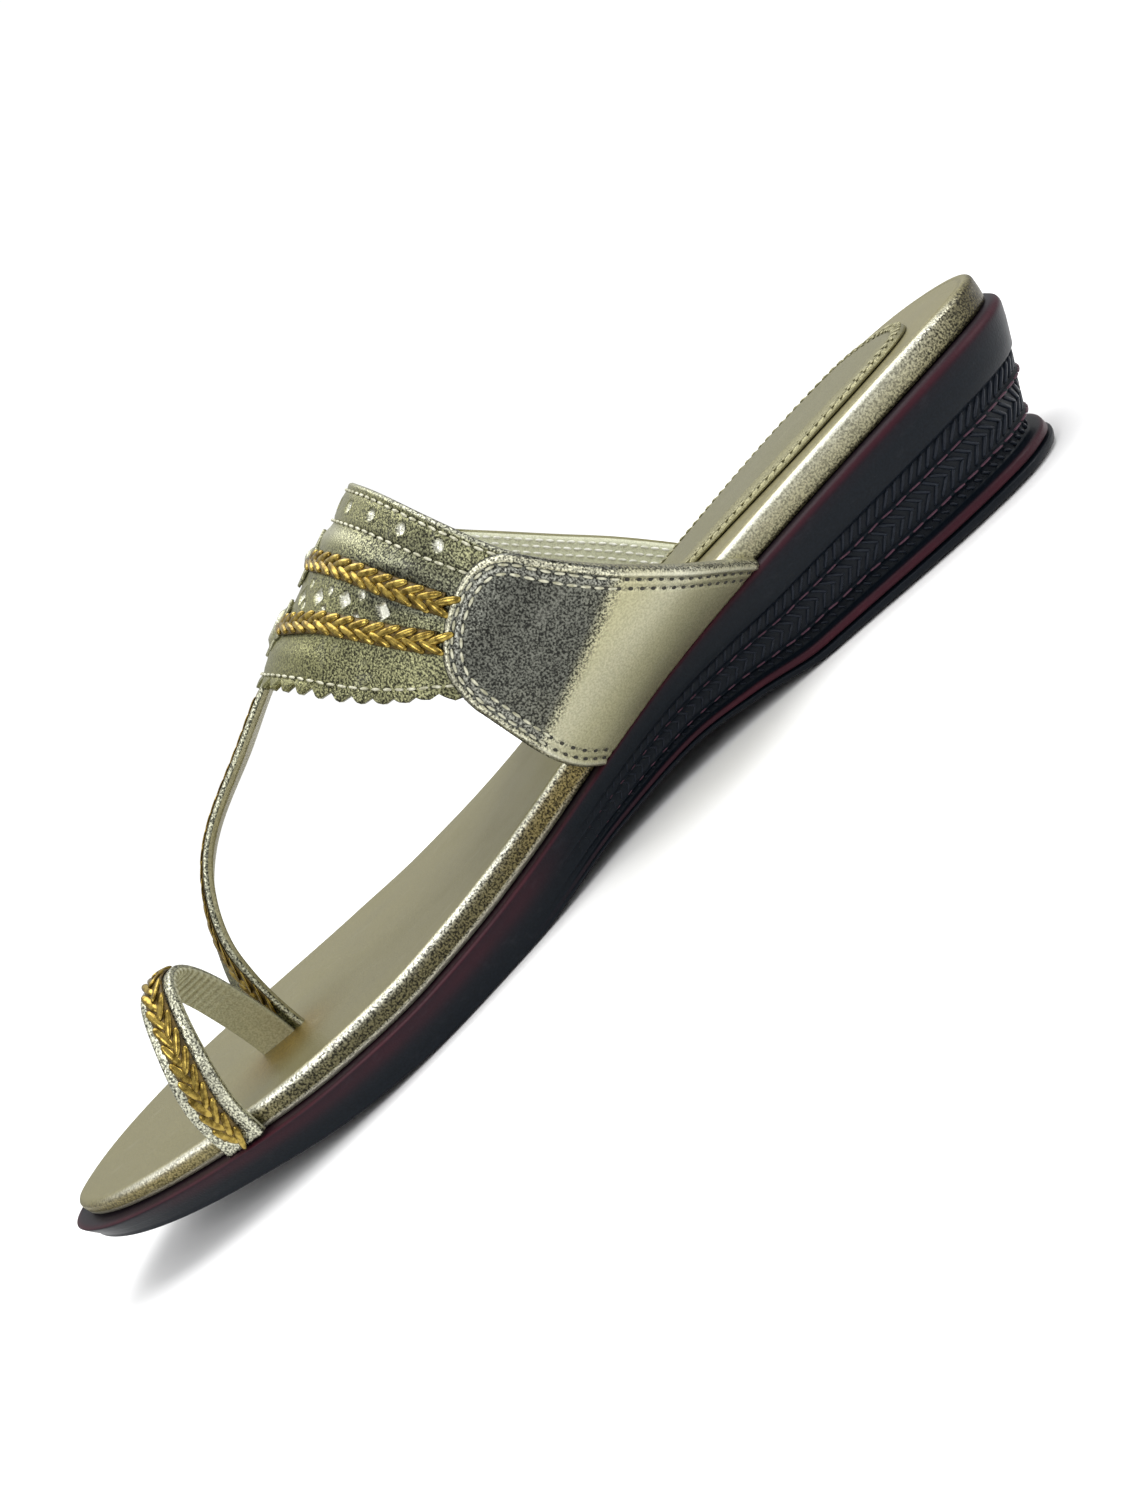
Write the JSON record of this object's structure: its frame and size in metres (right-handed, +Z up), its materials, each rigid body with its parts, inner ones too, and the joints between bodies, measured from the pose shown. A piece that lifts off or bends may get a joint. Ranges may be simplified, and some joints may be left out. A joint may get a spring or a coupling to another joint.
{
  "type": "toe ring sandal",
  "caption": "Right low-wedge sandal: rubber sole, metallic leather vamp with plaited cords and scalloped medallions, toe strap and ring for the big toe.",
  "frame": {"origin": "middle of the underside of the shoe's box; the sole stands on z = 0", "axes": "+Z up, -Y towards the toe, +X towards the big toe's side"},
  "size_m": [0.0942, 0.246, 0.0817],
  "materials": {
    "outsole_rubber": "black rubber, semi-matt with fine ribbed side bands",
    "insole_leather": "champagne metallic leather, fine grain",
    "heel_pad_leather": "darker champagne metallic leather, stitched border",
    "upper_leather": "silver and champagne foil leather, grainy",
    "plaited_cord": "gold plaited leather cord",
    "medallion_leather": "scalloped silver foil leather"
  },
  "bodies": {
    "root": {"outsole": "outsole_rubber", "insole": "insole_leather", "heel_pad": "heel_pad_leather", "upper": "upper_leather", "braid_back_medial": "plaited_cord", "braid_back_lateral": "plaited_cord", "braid_front_medial": "plaited_cord", "braid_front_lateral": "plaited_cord", "braid_toe_strap": "plaited_cord", "braid_toe_ring": "plaited_cord", "medallion_back": "medallion_leather", "medallion_front": "medallion_leather"}
  },
  "joints": []
}
